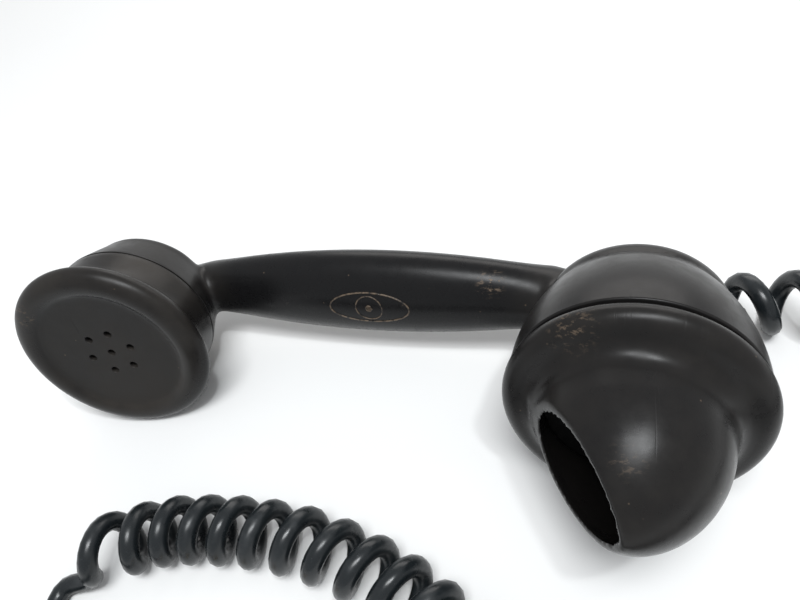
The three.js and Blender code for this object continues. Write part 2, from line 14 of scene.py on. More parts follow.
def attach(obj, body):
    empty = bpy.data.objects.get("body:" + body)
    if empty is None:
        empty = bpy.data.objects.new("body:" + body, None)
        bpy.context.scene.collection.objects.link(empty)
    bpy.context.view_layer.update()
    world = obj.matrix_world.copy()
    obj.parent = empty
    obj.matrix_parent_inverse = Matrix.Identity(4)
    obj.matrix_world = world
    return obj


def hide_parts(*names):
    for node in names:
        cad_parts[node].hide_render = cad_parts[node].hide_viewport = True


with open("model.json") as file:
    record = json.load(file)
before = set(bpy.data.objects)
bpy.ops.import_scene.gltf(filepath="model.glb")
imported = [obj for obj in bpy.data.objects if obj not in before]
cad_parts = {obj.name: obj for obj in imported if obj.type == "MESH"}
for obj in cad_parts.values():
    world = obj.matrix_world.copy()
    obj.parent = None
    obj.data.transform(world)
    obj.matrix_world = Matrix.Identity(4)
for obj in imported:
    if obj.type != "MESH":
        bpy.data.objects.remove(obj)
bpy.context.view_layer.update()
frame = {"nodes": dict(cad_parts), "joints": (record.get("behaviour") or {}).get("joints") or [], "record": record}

bl_info = {
    "name": "Telephone handset with a curly cord",
    "version": (1, 0, 0),
    "blender": (4, 5, 0),
    "location": "View3D > Sidebar > Handset",
    "description": "Models a telephone handset, its screw caps and its curly cord around a packed frame",
    "category": "Add Mesh",
}

MM = 0.001
TURN = 2 * math.pi
UP = Vector((0, 0, 1))

# ---- places taken from the frame
joints = {joint["name"]: joint for joint in frame["joints"]}
ear_origin = Vector(joints["ear_cap_turn"]["pos_m"])
mouth_origin = Vector(joints["mouth_cap_turn"]["pos_m"])
ear_out = Vector(joints["ear_cap_turn"]["axis"]).normalized()
mouth_out = Vector(joints["mouth_cap_turn"]["axis"]).normalized()
handset_up = mouth_out.cross(ear_out).normalized()


def placed(origin, across, up, out):
    """The matrix of a place whose X, Y and Z run across, up and out."""
    turn = Matrix((across, up, out)).transposed().to_4x4()
    return Matrix.Translation(origin) @ turn


def cup_place(origin, out):
    """A cup's own place: Z out through its cap, Y up the handset."""
    return placed(origin, handset_up.cross(out), handset_up, out)


ear_place = cup_place(ear_origin, ear_out)
mouth_place = cup_place(mouth_origin, mouth_out)
handset_along = (mouth_origin - ear_origin).normalized()
handset_place = placed(ear_origin, handset_along, handset_up.cross(handset_along), handset_up)

# ---- sizes of the moulding, in mm
HANDLE_BACK = 40.6               # handle's centre line behind the ear face
GRIP_START = 8.0                 # the grip's even stretch, from the ear cup's axis
GRIP_END = 146.0
NECK_REACH = 16.0                # length of the flare at each neck, and of the grip's closing ends
NECK_FLARE = 2.4
END_SINK = 7.0                   # how far the closing ends bend towards the caps
EAR_SEAM = -20.3                 # heights in a cup run out from the ear face or the mouth seam
EAR_SKIRT = 27.3
EAR_SPIGOT = 23.2
EAR_SPIGOT_TOP = -10.0
EAR_BORE = 20.6
EAR_FLOOR = -35.2
EAR_RIM = 27.0                   # circle through the middle of the ear cap's rolled rim
HOLE_RADIUS = 1.2
HOLE_LIP = 0.7                   # radius of the holes' rounded lips
HOLE_CIRCLE = 7.9
MOUTH_SKIRT = 30.8
MOUTH_SPIGOT = 25.8
MOUTH_SPIGOT_TOP = 3.6
MOUTH_BORE = 23.4
MOUTH_FLOOR = -32.4
MOUTH_EDGE = 7.0                 # radius of the cup's back edge
MOUTH_EDGE_START = -29.0
MOUTH_BACK_RADIUS = 25.6
BEAD_CIRCLE = 26.4               # circle through the middle of the mouth cap's bead
HOOD_RADIUS = 22.0
HOOD_BASE = 11.0
HOOD_TOP = 41.0
HOOD_WALL = 1.5
HOOD_SLOPE = math.radians(54.5)  # slope of the hood's open face
NECK_TOP = HOOD_BASE - 2.8       # height to which the hood's open face may reach down
CLEARANCE = 0.3
CAP_SPACE = 0.8                  # between a spigot and its cap, for both threads
THREAD_PITCH = 2.0
THREAD_TOOTH = 0.55

GLAND_OUTER = 17.0
GLAND_SHOULDER = 7.4
GLAND_WAIST = 4.3
gland_axis = Vector((0.55, 0, -0.835)).normalized()
gland_place = (
    mouth_place
    @ Matrix.Rotation(math.radians(-15), 4, "Z")
    @ Matrix.Translation(Vector((MOUTH_BACK_RADIUS - MOUTH_EDGE, 0, MOUTH_EDGE_START)) * MM)
    @ UP.rotation_difference(gland_axis).to_matrix().to_4x4()
)

# ---- the cord's route, in metres
COIL_ROUTE = [
    (0.107, 0.0428), (0.115, 0.0435), (0.126, 0.0448), (0.142, 0.0448), (0.162, 0.040), (0.182, 0.026),
    (0.191, 0.003), (0.188, -0.024), (0.173, -0.052), (0.148, -0.075), (0.116, -0.086), (0.082, -0.082),
    (0.053, -0.069), (0.0285, -0.0548), (0.003, -0.0472), (-0.0175, -0.0458), (-0.038, -0.0476),
    (-0.050, -0.0506), (-0.061, -0.0554), (-0.070, -0.0592),
]
CORD_TAIL = [
    (-0.0785, -0.069, 0.0029), (-0.0782, -0.078, 0.0029), (-0.0756, -0.085, 0.0031),
    (-0.0705, -0.0882, 0.0037), (-0.065, -0.0885, 0.0042), (-0.0635, -0.0885, 0.0042),
]
COIL_START = 0.006               # way over which the first coil opens out
FIRST_ANGLE = math.radians(-110)
DRAWN_OUT = 0.053                # way over which the first coils are drawn out
REVERSAL = 0.1601                # way along the coils where their hand changes
REVERSAL_WIDTH = 0.010
SLACK = 0.0015                   # added to the pitch where the coil lies slackest
SLACK_PLACE = 0.0735             # way from there to the coil's end
SLACK_WIDTH = 0.0226
PULL_OUT = 0.006                 # added to the pitch at the coil's end
PULL_OUT_WIDTH = 0.020
CORD_EXIT = gland_place @ Vector((0, 0, GLAND_OUTER * MM))

far_way = Vector((1, 0, 0))
far_place = placed(Vector((-0.0641, -0.0885, 0.0042)), UP.cross(far_way), UP, far_way)
BOOT_LENGTH = 14.0
LEAD_REACH = BOOT_LENGTH + 22
LEADS = (("red", -1), ("blue", 0), ("white", 1))
LEAD_HEIGHT = -3.3               # of the leads where they lie on the surface, from the boot's axis
LEAD_SPREAD = 11.0               # between one lead's end and the next
RUBBER = (0.012, 0.0125, 0.013)  # colour of the gland and the boot
WIRES = {"red": (0.30, 0.035, 0.025), "blue": (0.025, 0.06, 0.16), "white": (0.52, 0.47, 0.38)}


# ---- what a user would change
class HandsetSizes(bpy.types.PropertyGroup):
    """Sizes of the cord and the fineness of the mouldings."""

    cord_diameter: bpy.props.FloatProperty(
        name="Cord diameter", description="Thickness of the cord's jacket", default=0.0056, unit="LENGTH")
    coil_diameter: bpy.props.FloatProperty(
        name="Coil diameter", description="Outside of the cord's coils", default=0.0199, unit="LENGTH")
    coil_pitch: bpy.props.FloatProperty(
        name="Coil pitch", description="From one coil to the next where the cord lies slack",
        default=0.0094, unit="LENGTH")
    first_pitch: bpy.props.FloatProperty(
        name="First pitch", description="Pitch of the drawn-out coils beside the handset",
        default=0.0155, unit="LENGTH")
    handle_grain: bpy.props.FloatProperty(
        name="Handle fineness", description="Edge length of the handle's faces",
        default=0.0008, unit="LENGTH")
    hood_grain: bpy.props.FloatProperty(
        name="Hood fineness", description="Edge length of the hood's faces", default=0.00045, unit="LENGTH")
    fillet: bpy.props.FloatProperty(
        name="Fillet", description="Width over which the handle flows into the cups",
        default=0.009, unit="LENGTH")


class HandsetColours(bpy.types.PropertyGroup):
    """Colours of the finishes."""

    bakelite: bpy.props.FloatVectorProperty(
        name="Bakelite", description="Polished phenolic moulding", subtype="COLOR",
        default=(0.006, 0.006, 0.0065))
    # Patina colour: the moulding's real browning, and also painted sheen on the faces that turn up to the light
    patina_and_sheen: bpy.props.FloatVectorProperty(
        name="Patina", description="Dulled, handled moulding", subtype="COLOR",
        default=(0.030, 0.026, 0.022))
    scuff: bpy.props.FloatVectorProperty(
        name="Scuffs", description="Filler laid bare where the skin is worn", subtype="COLOR",
        default=(0.22, 0.16, 0.11))
    cord: bpy.props.FloatVectorProperty(
        name="Cord", description="Cord jacket", subtype="COLOR", default=(0.008, 0.0105, 0.012))
    brass: bpy.props.FloatVectorProperty(
        name="Brass", description="Screws, springs and terminals", subtype="COLOR",
        default=(0.62, 0.44, 0.19))
    floor: bpy.props.FloatVectorProperty(
        name="Floor", description="Surface that the handset lies on", subtype="COLOR",
        default=(0.80, 0.80, 0.79))


# ---- modelling helpers
def deselect():
    if bpy.context.object and bpy.context.object.mode != "OBJECT":
        bpy.ops.object.mode_set(mode="OBJECT")
    bpy.ops.object.select_all(action="DESELECT")


def pick(*pieces):
    """Select these pieces alone, the first of them active."""
    deselect()
    for piece in pieces:
        piece.select_set(True)
    bpy.context.view_layer.objects.active = pieces[0]


def settle(piece, place=None):
    """Put the piece where it belongs and move that place into its mesh."""
    if place is not None:
        piece.matrix_world = place @ piece.matrix_world
    pick(piece)
    bpy.ops.object.transform_apply(location=True, rotation=True, scale=True)
    return piece


def start_edit(piece):
    pick(piece)
    bpy.ops.object.mode_set(mode="EDIT")
    bpy.ops.mesh.select_all(action="SELECT")


def end_edit():
    """Turn the chosen faces outwards and leave edit mode."""
    bpy.ops.mesh.normals_make_consistent(inside=False)
    bpy.ops.object.mode_set(mode="OBJECT")


def arc(radius, height, across, along, start, stop, count):
    """Points [radius, height] of an elliptical arc, its angles in degrees from +radius to +height."""
    points = []
    for i in range(count + 1):
        angle = math.radians(start + (stop - start) * i / count)
        points.append((radius + across * math.cos(angle), height + along * math.sin(angle)))
    return points


def smooth(points, steps):
    """The line drawn out on a Catmull-Rom curve, with so many steps from one point to the next."""
    points = [Vector(point) for point in points]
    padded = [2 * points[0] - points[1], *points, 2 * points[-1] - points[-2]]
    line = []
    for before, start, stop, after in zip(padded, padded[1:], padded[2:], padded[3:]):
        for i in range(steps):
            t = i / steps
            line.append(0.5 * (
                2 * start + t * (stop - before)
                + t * t * (2 * before - 5 * start + 4 * stop - after)
                + t * t * t * (3 * start - before - 3 * stop + after)
            ))
    return line + [points[-1]]


def turned(name, rings, sides):
    """A round body about Z, drawn up from ring to ring of [radius, height] in mm, closed at both ends."""
    deselect()
    radius, height = rings[0]
    bpy.ops.mesh.primitive_circle_add(
        vertices=sides, radius=radius * MM, fill_type="NGON", location=(0, 0, height * MM))
    piece = bpy.context.object
    piece.name = name
    start_edit(piece)
    for (old_radius, old_height), (radius, height) in zip(rings, rings[1:]):
        rise = (0, 0, (height - old_height) * MM)
        bpy.ops.mesh.extrude_region_move(TRANSFORM_OT_translate={"value": rise})
        scale = radius / old_radius
        bpy.ops.transform.resize(value=(scale, scale, 1), center_override=(0, 0, height * MM))
    bpy.ops.mesh.select_all(action="SELECT")
    end_edit()
    return settle(piece)


def drawn_out(name, sections):
    """A closed body along X, from oval sections (x, y, half depth, half width) in mm."""
    deselect()
    x, y, depth, width = sections[0]
    bpy.ops.mesh.primitive_circle_add(
        vertices=64, radius=MM, fill_type="NGON", location=(x * MM, y * MM, 0),
        rotation=(0, math.pi / 2, 0))
    piece = bpy.context.object
    piece.name = name
    start_edit(piece)
    bpy.ops.transform.resize(value=(1, depth, width), center_override=(x * MM, y * MM, 0))
    for old, new in zip(sections, sections[1:]):
        shift = ((new[0] - old[0]) * MM, (new[1] - old[1]) * MM, 0)
        bpy.ops.mesh.extrude_region_move(TRANSFORM_OT_translate={"value": shift})
        bpy.ops.transform.resize(
            value=(1, new[2] / old[2], new[3] / old[3]), center_override=(new[0] * MM, new[1] * MM, 0))
    bpy.ops.mesh.select_all(action="SELECT")
    end_edit()
    return settle(piece)


def apply(piece, kind, **settings):
    """Add a modifier with these settings and apply it."""
    modifier = piece.modifiers.new(kind.lower(), kind)
    for name, value in settings.items():
        setattr(modifier, name, value)
    pick(piece)
    bpy.ops.object.modifier_apply(modifier=modifier.name)


def carve(piece, tool):
    """Cut the tool's shape out of the piece, and throw the tool away."""
    apply(piece, "BOOLEAN", object=tool, operation="DIFFERENCE", solver="EXACT")
    bpy.data.objects.remove(tool, do_unlink=True)


def join(*pieces):
    pick(*pieces)
    bpy.ops.object.join()
    return pieces[0]


def smooth_shading(piece, angle):
    pick(piece)
    bpy.ops.object.shade_smooth_by_angle(angle=math.radians(angle))


def thread(name, radius, low, turns, phase=0.0):
    """A screw thread's ridge about Z, as a half-buried coil of the tooth's section."""
    deselect()
    bpy.ops.mesh.primitive_circle_add(
        vertices=8, radius=THREAD_TOOTH * MM, location=(radius * MM, 0, low * MM),
        rotation=(math.pi / 2, 0, 0))
    piece = bpy.context.object
    piece.name = name
    settle(piece)
    steps = int(72 * turns)
    apply(piece, "SCREW", axis="Z", angle=TURN * turns, screw_offset=THREAD_PITCH * MM * turns,
          steps=steps, render_steps=steps, use_normal_calculate=True)
    start_edit(piece)
    bpy.ops.mesh.fill_holes(sides=0)
    end_edit()
    return settle(piece, Matrix.Rotation(phase, 4, "Z"))


def soften_edges(node, width):
    """Weld a kept node's triangles and break its sharp edges, as live modifiers."""
    weld = node.modifiers.new("weld", "WELD")
    weld.merge_threshold = 0.00001
    bevel = node.modifiers.new("edges", "BEVEL")
    bevel.width = width
    bevel.segments = 2
    bevel.limit_method = "ANGLE"
    bevel.angle_limit = math.radians(50)


def finish_piece(piece, material, body, replaced=()):
    """Give the piece its finish and the body it moves with, and hide the frame's nodes that it stands in for."""
    piece.data.materials.clear()
    piece.data.materials.append(material)
    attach(piece, body)
    if replaced:
        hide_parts(*replaced)


# ---- finishes
class Finish:
    """A material being made: patterns are laid in the piece's own coordinates, in metres."""

    def __init__(self, name, metallic=0.0, gloss=0.5):
        self.material = bpy.data.materials.new(name)
        self.material.use_nodes = True
        self.tree = self.material.node_tree
        self.shader = self.tree.nodes["Principled BSDF"]
        self.shader.inputs["Metallic"].default_value = metallic
        self.shader.inputs["Specular IOR Level"].default_value = gloss
        self.place = self.tree.nodes.new("ShaderNodeTexCoord").outputs

    def node(self, kind, links=None, **settings):
        made = self.tree.nodes.new(kind)
        for name, value in settings.items():
            setattr(made, name, value)
        for socket, value in (links or {}).items():
            self.feed(made.inputs[socket], value)
        return made

    def feed(self, socket, value):
        if isinstance(value, bpy.types.NodeSocket):
            self.tree.links.new(value, socket)
        elif isinstance(value, tuple) and socket.type == "RGBA":
            socket.default_value = (*value[:3], 1)
        else:
            socket.default_value = value

    def stretched(self, scale, turn=(0, 0, 0)):
        """The piece's coordinates, scaled differently along each axis."""
        return self.node("ShaderNodeMapping", {
            "Vector": self.place["Object"], "Rotation": turn, "Scale": scale}).outputs[0]

    def noise(self, scale, detail=4.0, roughness=0.55, vector=None, distortion=0.0):
        source = self.place["Object"] if vector is None else vector
        return self.node("ShaderNodeTexNoise", {
            "Vector": source, "Scale": scale, "Detail": detail, "Roughness": roughness,
            "Distortion": distortion}).outputs["Fac"]

    def spots(self, scale):
        """Distance to the nearest of many scattered points."""
        return self.node("ShaderNodeTexVoronoi", {
            "Vector": self.place["Object"], "Scale": scale}).outputs["Distance"]

    def span(self, value, low, high, to_low=0.0, to_high=1.0):
        """The value brought from low..high to another range, and held inside it."""
        return self.node("ShaderNodeMapRange", {
            "Value": value, "From Min": low, "From Max": high, "To Min": to_low, "To Max": to_high},
            interpolation_type="SMOOTHSTEP").outputs[0]

    def maths(self, operation, first, second):
        return self.node("ShaderNodeMath", {0: first, 1: second}, operation=operation).outputs[0]

    def times(self, first, second):
        return self.maths("MULTIPLY", first, second)

    def mixed(self, share, first, second):
        made = self.node("ShaderNodeMix", data_type="RGBA")
        self.feed(made.inputs["Factor"], share)
        self.feed(made.inputs[6], first)
        self.feed(made.inputs[7], second)
        return made.outputs[2]

    def facing_up(self, low, high):
        """0 to 1 as the surface turns to face up."""
        split = self.node("ShaderNodeSeparateXYZ", {0: self.place["Normal"]})
        return self.span(split.outputs["Z"], low, high)

    def near(self, point, reach):
        """1 at a point, falling to 0 at a distance from it."""
        away = self.node("ShaderNodeVectorMath", {
            0: self.place["Object"], 1: tuple(point)}, operation="DISTANCE").outputs["Value"]
        return self.span(away, reach, 0.0)

    def scratches(self, coarse, turn, depth):
        """Sparse fine hairlines that run one way."""
        along = self.stretched((coarse, coarse * 0.03, coarse * 0.05), turn)
        lines = self.noise(1.0, detail=2.0, vector=along)
        patchy = self.noise(60.0, detail=2.0)
        return self.times(self.span(lines, 0.66, 0.74), self.span(patchy, depth, depth + 0.12))

    def relief(self, height, strength, distance, onto=None):
        links = {"Height": height, "Strength": strength, "Distance": distance}
        if onto is not None:
            links["Normal"] = onto
        return self.node("ShaderNodeBump", links).outputs[0]

    def done(self, colour, roughness, normal=None):
        self.feed(self.shader.inputs["Base Color"], colour)
        self.feed(self.shader.inputs["Roughness"], roughness)
        if normal is not None:
            self.feed(self.shader.inputs["Normal"], normal)
        return self.material


def bakelite(name, shine, patina_and_sheen, colours, scuffs=(), satin=None, patina_sheen_places=()):
    """Black phenolic moulding: polish, a brown patina on top that is partly painted sheen, hairlines, flecks and
    worn-through scuffs.

    The patina and its painted sheen are kept to the given places where there are any, each a point and its reach.
    """
    finish = Finish(name, gloss=0.19)
    broad = finish.noise(34.0, detail=3.0, distortion=0.4)
    mottle = finish.noise(210.0, detail=6.0, roughness=0.65)
    grain = finish.noise(1900.0, detail=3.0, roughness=0.7)
    hairlines = finish.maths(
        "MAXIMUM",
        finish.scratches(1400.0, (0.3, 0.2, 0.7), 0.5),
        finish.scratches(1100.0, (0.9, 0.5, -0.6), 0.54))
    flecks = finish.times(
        finish.span(finish.spots(230.0), 0.075, 0.03),
        finish.span(finish.noise(95.0, detail=1.0), 0.56, 0.62))
    # painted sheen: besides real browning, the patina colour is laid on the faces that turn up, where the light
    # falls on top
    top = finish.facing_up(-0.4, 0.75)
    patina_sheen_mask = finish.times(top, finish.span(broad, 0.28, 0.68, 0.45, 1.0))
    patina_sheen_mask = finish.times(patina_sheen_mask, finish.span(mottle, 0.3, 0.7, 0.72, 1.0))
    patina_sheen_mask = finish.times(patina_sheen_mask, patina_and_sheen)
    # the patina and its painted sheen are kept near the given places and weakened elsewhere
    if patina_sheen_places:
        kept = 0.12
        for point, reach in patina_sheen_places:
            kept = finish.maths("MAXIMUM", finish.span(finish.near(point, reach), 0.0, 0.4), kept)
        patina_sheen_mask = finish.times(patina_sheen_mask, kept)
    colour = finish.mixed(patina_sheen_mask, tuple(colours.bakelite), tuple(colours.patina_and_sheen))
    colour = finish.mixed(finish.times(flecks, 0.35), colour, tuple(colours.scuff))
    roughness = finish.span(mottle, 0.3, 0.7, shine, shine + 0.07)
    roughness = finish.maths("ADD", roughness, finish.times(patina_sheen_mask, 0.24))
    if satin is not None:
        roughness = finish.maths("ADD", roughness, finish.span(finish.near(*satin), 0.0, 0.06, 0.0, 0.2))
    for point, reach, amount in scuffs:
        worn = finish.times(
            finish.near(point, reach),
            finish.span(finish.noise(1.0, detail=5.0, roughness=0.75,
                                     vector=finish.stretched((420.0, 900.0, 900.0))), 0.52, 0.62))
        worn = finish.times(worn, amount)
        colour = finish.mixed(worn, colour, tuple(colours.scuff))
        roughness = finish.maths("ADD", roughness, finish.times(worn, 0.3))
    roughness = finish.maths("ADD", roughness, finish.times(hairlines, 0.12))
    skin = finish.relief(broad, 0.10, 0.0012)
    skin = finish.relief(mottle, 0.05, 0.0002, skin)
    skin = finish.relief(grain, 0.04, 0.00006, skin)
    skin = finish.relief(hairlines, 0.25, -0.00004, skin)
    return finish.done(colour, roughness, skin)


def jacket(name, colour, shine=0.24):
    """Glossy plastic cord jacket with handling dust, fine scuffs and a slightly uneven skin."""
    finish = Finish(name, gloss=0.4)
    uneven = finish.noise(160.0, detail=4.0)
    fine = finish.noise(1500.0, detail=3.0, roughness=0.7)
    dusty = finish.times(finish.facing_up(0.2, 1.0), finish.span(uneven, 0.45, 0.75, 0.0, 0.5))
    rubbed = finish.span(finish.noise(620.0, detail=5.0, roughness=0.7), 0.6, 0.7)
    dust = tuple(0.03 + part * 1.6 for part in colour)
    tone = finish.mixed(dusty, colour, dust)
    tone = finish.mixed(finish.times(rubbed, 0.25), tone, dust)
    roughness = finish.span(uneven, 0.3, 0.7, shine, shine + 0.1)
    roughness = finish.maths("ADD", roughness, finish.times(rubbed, 0.15))
    skin = finish.relief(uneven, 0.18, 0.0004)
    skin = finish.relief(fine, 0.05, 0.00005, skin)
    return finish.done(tone, roughness, skin)


def soft_rubber(name):
    """Matt rubber with bloom and a fine pebbled skin."""
    finish = Finish(name, gloss=0.4)
    bloom = finish.noise(120.0, detail=5.0, roughness=0.6)
    pebble = finish.noise(2600.0, detail=2.0)
    pale = tuple(0.02 + 1.5 * part for part in RUBBER)
    tone = finish.mixed(finish.span(bloom, 0.45, 0.75, 0.0, 0.6), RUBBER, pale)
    roughness = finish.span(bloom, 0.3, 0.7, 0.42, 0.6)
    skin = finish.relief(pebble, 0.12, 0.00006, finish.relief(bloom, 0.1, 0.0003))
    return finish.done(tone, roughness, skin)


def metal(name, colour, stain_and_shade, shine, brushed=0.0):
    """Metal with discoloured patches, a fine grain, and brushing or turning marks."""
    finish = Finish(name, metallic=1.0)
    patches = finish.noise(260.0, detail=5.0, roughness=0.65)
    marks = finish.noise(1.0, detail=2.0, vector=finish.stretched((3200.0, 160.0, 3200.0)))
    # in metal the darker colour is a real stain, laid in patches
    tone = finish.mixed(finish.span(patches, 0.4, 0.72, 0.0, 0.75), colour, stain_and_shade)
    roughness = finish.span(patches, 0.3, 0.7, shine, shine + 0.18)
    skin = finish.relief(marks, 0.06 + brushed, 0.00005, finish.relief(patches, 0.08, 0.0001))
    return finish.done(tone, roughness, skin)


def matt(name, colour, speck, grain_scale, roughness_low):
    """Fibre, carbon, lacquer and the like: a matt body with specks and a grain."""
    finish = Finish(name, gloss=0.4)
    grain = finish.noise(grain_scale, detail=6.0, roughness=0.7)
    patches = finish.noise(140.0, detail=3.0)
    tone = finish.mixed(finish.span(grain, 0.42, 0.7, 0.0, 0.7), colour, speck)
    tone = finish.mixed(finish.span(patches, 0.4, 0.8, 0.0, 0.35), tone, tuple(0.5 * c for c in colour))
    roughness = finish.span(grain, 0.3, 0.7, roughness_low, roughness_low + 0.15)
    return finish.done(tone, roughness, finish.relief(grain, 0.2, 0.00012))


def wound_wire(name, colour, stain_and_shade):
    """Layers of fine enamelled wire, seen as close grooves round a winding, with painted shade in the grooves."""
    finish = Finish(name, metallic=0.8)
    wraps = finish.node("ShaderNodeTexWave", {
        "Vector": finish.place["Object"], "Scale": 900.0, "Distortion": 0.6, "Detail": 2.0},
        bands_direction="Y").outputs["Fac"]
    patches = finish.noise(300.0, detail=4.0)
    # painted shade: the darker colour lies in the grooves between the turns
    tone = finish.mixed(finish.span(wraps, 0.1, 0.6), stain_and_shade, colour)
    roughness = finish.span(patches, 0.3, 0.7, 0.3, 0.45)
    return finish.done(tone, roughness, finish.relief(wraps, 0.6, 0.0001))


def floor_finish(colour):
    """A plain pale surface with a trace of unevenness."""
    finish = Finish("pale_floor", gloss=0.3)
    cloudy = finish.noise(3.0, detail=4.0)
    tone = finish.mixed(finish.span(cloudy, 0.3, 0.7), colour, tuple(0.97 * c for c in colour))
    return finish.done(tone, finish.span(cloudy, 0.3, 0.7, 0.62, 0.7))


# ---- camera and stage
CAMERA_PLACE = Vector((0.0674, -0.0827, 0.1728))
CAMERA_RIGHT = Vector((0.95479, 0.21099, -0.20944))
CAMERA_AHEAD = Vector((-0.29441, 0.57325, -0.76466))


class HANDSET_OT_camera(bpy.types.Operator):
    """Set the camera up close above the mouth cap, looking down along the handle"""

    bl_idname = "handset.camera"
    bl_label = "Camera"

    def execute(self, context):
        deselect()
        bpy.ops.object.camera_add()
        camera = context.object
        camera.name = "view_camera"
        right = CAMERA_RIGHT.normalized()
        back = -CAMERA_AHEAD.normalized()
        camera.matrix_world = placed(CAMERA_PLACE, right, back.cross(right), back)
        camera.data.lens = 27
        camera.data.sensor_width = 36
        camera.data.clip_start = 0.005
        context.scene.camera = camera
        return {"FINISHED"}


def area_light(name, place, target, size, power, tint=(1, 1, 1)):
    deselect()
    bpy.ops.object.light_add(type="AREA", location=place)
    light = bpy.context.object
    light.name = name
    aim = Vector(target) - Vector(place)
    light.rotation_euler = aim.to_track_quat("-Z", "Y").to_euler()
    light.data.shape = "RECTANGLE"
    light.data.size = size[0]
    light.data.size_y = size[1]
    light.data.energy = power
    light.data.color = tint


class HANDSET_OT_stage(bpy.types.Operator):
    """Lay the pale floor and hang the soft lights"""

    bl_idname = "handset.stage"
    bl_label = "Stage"

    def execute(self, context):
        deselect()
        bpy.ops.mesh.primitive_plane_add(size=6, location=(0, 0, 0))
        floor = context.object
        floor.name = "floor"
        floor.data.materials.append(floor_finish(tuple(context.scene.handset_colours.floor)))
        middle = (0.02, 0.0, 0.02)
        area_light("window_light", (0.05, 1.30, 0.62), middle, (1.5, 0.6), 7, (1.0, 0.97, 0.94))
        area_light("ceiling_light", (0.14, -0.22, 1.10), (0.08, -0.02, 0.05), (0.50, 0.34), 9,
                   (0.96, 0.98, 1.0))
        area_light("desk_lamp", (0.36, -0.12, 1.0), (0.08, 0, 0.05), (0.06, 0.06), 2.2, (0.94, 0.98, 1.0))
        world = bpy.data.worlds.new("soft_surroundings")
        world.use_nodes = True
        background = world.node_tree.nodes["Background"]
        background.inputs["Color"].default_value = (0.95, 0.97, 1.0, 1)
        background.inputs["Strength"].default_value = 0.62
        context.scene.world = world
        context.scene.view_settings.view_transform = "Standard"
        return {"FINISHED"}


# ---- the cord
def steps_along(line, spacing):
    """Points at even spacing along a line of points."""
    gaps = [(b - a).length for a, b in zip(line, line[1:])]
    total = sum(gaps)
    count = max(2, round(total / spacing))
    points, index, passed = [], 0, 0.0
    for i in range(count + 1):
        target = min(total * i / count, total - 1e-9)
        while passed + gaps[index] < target:
            passed += gaps[index]
            index += 1
        points.append(line[index].lerp(line[index + 1], (target - passed) / gaps[index]))
    return points


def ease(value):
    value = min(max(value, 0.0), 1.0)
    return value * value * (3 - 2 * value)


def coils(sizes):
    """Points of the coiled stretch: a helix about the route, right-handed first and then left-handed."""
    height = sizes.coil_diameter / 2
    radius = height - sizes.cord_diameter / 2
    route = [Vector((x, y, height)) for x, y in COIL_ROUTE]
    centre = steps_along(smooth(route, 40), 0.0004)
    spacing = (centre[1] - centre[0]).length
    total = spacing * (len(centre) - 1)
    angle = FIRST_ANGLE
    points = []
    for i, place in enumerate(centre):
        way = i * spacing
        ahead = (centre[min(i + 1, len(centre) - 1)] - centre[max(i - 1, 0)]).normalized()
        side = UP.cross(ahead)
        reach = radius * ease(way / COIL_START)
        points.append(place + reach * (math.cos(angle) * side + math.sin(angle) * UP))
        left = total - way
        pitch = sizes.coil_pitch + SLACK * math.exp(-((left - SLACK_PLACE) / SLACK_WIDTH) ** 2)
        pitch += (sizes.first_pitch - sizes.coil_pitch) * (1 - ease(way / DRAWN_OUT))
        pitch += PULL_OUT * (1 - ease(left / PULL_OUT_WIDTH))
        hand = 1 - 2 * ease((way - REVERSAL) / REVERSAL_WIDTH + 0.5)
        angle += TURN * spacing / pitch * hand
    return points


def cord_points(sizes):
    """The whole cord, from inside its gland to inside its boot."""
    inside = gland_place @ Vector((0, 0, (GLAND_OUTER - 6) * MM))
    ahead = gland_place @ Vector((0, 0, (GLAND_OUTER + 4) * MM))
    middle = coils(sizes)
    start = smooth([inside, CORD_EXIT, ahead, middle[0], middle[12]], 8)[:-9]
    stop = smooth([middle[-12], middle[-1], *CORD_TAIL], 6)[6:]
    return start + middle + stop[1:]


def round_wire(name, line, radius, fineness):
    """A round, closed wire through the points of a line."""
    curve = bpy.data.curves.new(name, "CURVE")
    curve.dimensions = "3D"
    curve.bevel_depth = radius
    curve.bevel_resolution = fineness
    curve.use_fill_caps = True
    spline = curve.splines.new("POLY")
    spline.points.add(len(line) - 1)
    for point, place in zip(spline.points, line):
        point.co = (*place, 1)
    spline.use_smooth = True
    wire = bpy.data.objects.new(name, curve)
    bpy.context.scene.collection.objects.link(wire)
    return wire


class HANDSET_OT_cord(bpy.types.Operator):
    """Lay the curly cord from the gland round to its boot"""

    bl_idname = "handset.cord"
    bl_label = "Curly cord"

    def execute(self, context):
        sizes = context.scene.handset_sizes
        line = steps_along(cord_points(sizes), 0.0022)
        cord = round_wire("curly_cord_helix", line, sizes.cord_diameter / 2, 4)
        finish_piece(cord, jacket("cord_jacket", tuple(context.scene.handset_colours.cord)),
                     "handset", ("curly_cord", "cord_start", "cord_end"))
        return {"FINISHED"}


# ---- the handle moulding
def through(first, middle, last, u):
    """The parabola through three values, at u = 0, 0.5 and 1."""
    return first * (1 - u) * (1 - 2 * u) + middle * 4 * u * (1 - u) + last * u * (2 * u - 1)


def grip_section(x):
    """(x, y, half depth, half width) of the grip: fullest in the middle, flared at both necks."""
    inside = min(max(x, GRIP_START), GRIP_END)
    u = (inside - 13) / 121
    width = through(8.2, 15.1, 10.1, u)
    depth = through(7, 10.3, 8.5, u)
    to_ear = max(0.0, 1 - abs(inside - 17) / NECK_REACH)
    to_mouth = max(0.0, 1 - abs(inside - 138) / NECK_REACH)
    depth += NECK_FLARE * (to_ear ** 2 + to_mouth ** 2)
    beyond = max(0.0, GRIP_START - x, x - GRIP_END) / NECK_REACH
    close = math.sqrt(max(0.02, 1 - beyond * beyond))
    return x, HANDLE_BACK - END_SINK * beyond * beyond, depth * close, width * close


def surface_tree(piece):
    return BVHTree.FromObject(piece, bpy.context.evaluated_depsgraph_get())


